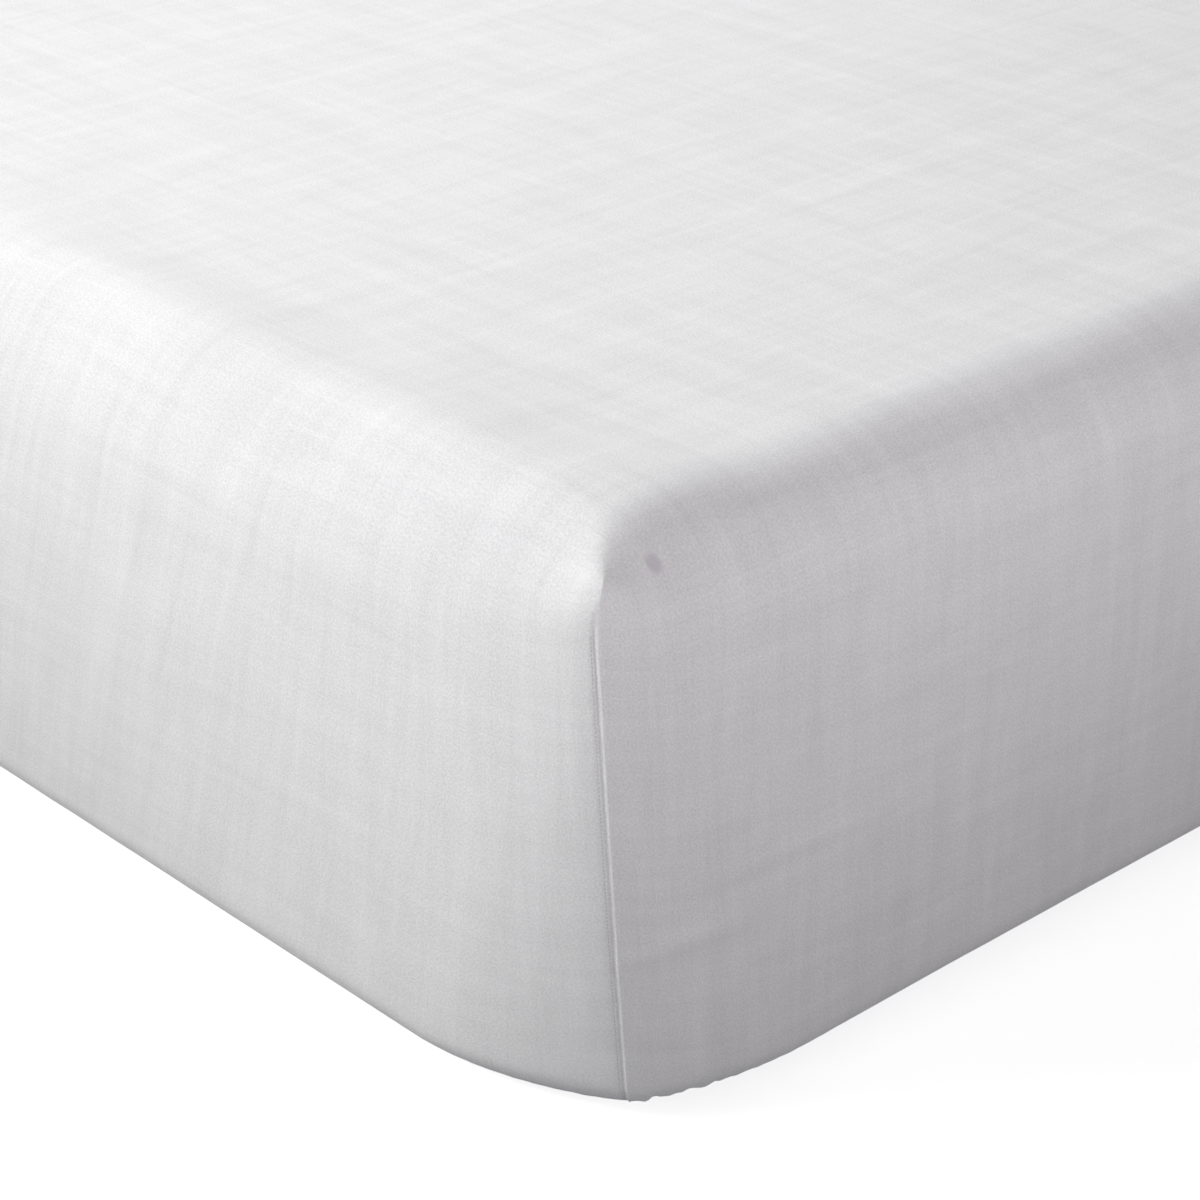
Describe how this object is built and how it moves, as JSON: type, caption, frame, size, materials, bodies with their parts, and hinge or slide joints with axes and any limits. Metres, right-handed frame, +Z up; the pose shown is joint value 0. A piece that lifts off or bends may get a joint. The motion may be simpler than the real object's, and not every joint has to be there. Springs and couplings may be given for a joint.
{
  "type": "fitted sheet on a mattress",
  "caption": "White fitted sheet drawn tight over a deep mattress, with a sewn seam down each corner and an elastic hem drawn in under the mattress.",
  "frame": {"origin": "on the surface that the mattress rests on, under its middle", "axes": "+Z up, +Y along the bed, +X across it; the corner that the picture shows is at +X and -Y"},
  "size_m": [1.5339, 2.0421, 0.3054],
  "materials": {
    "sheet_cloth": "matt white slub weave",
    "mattress_ticking": "matt off-white ticking"
  },
  "bodies": {
    "root": {"sheet": "sheet_cloth", "mattress": "mattress_ticking"}
  },
  "joints": []
}
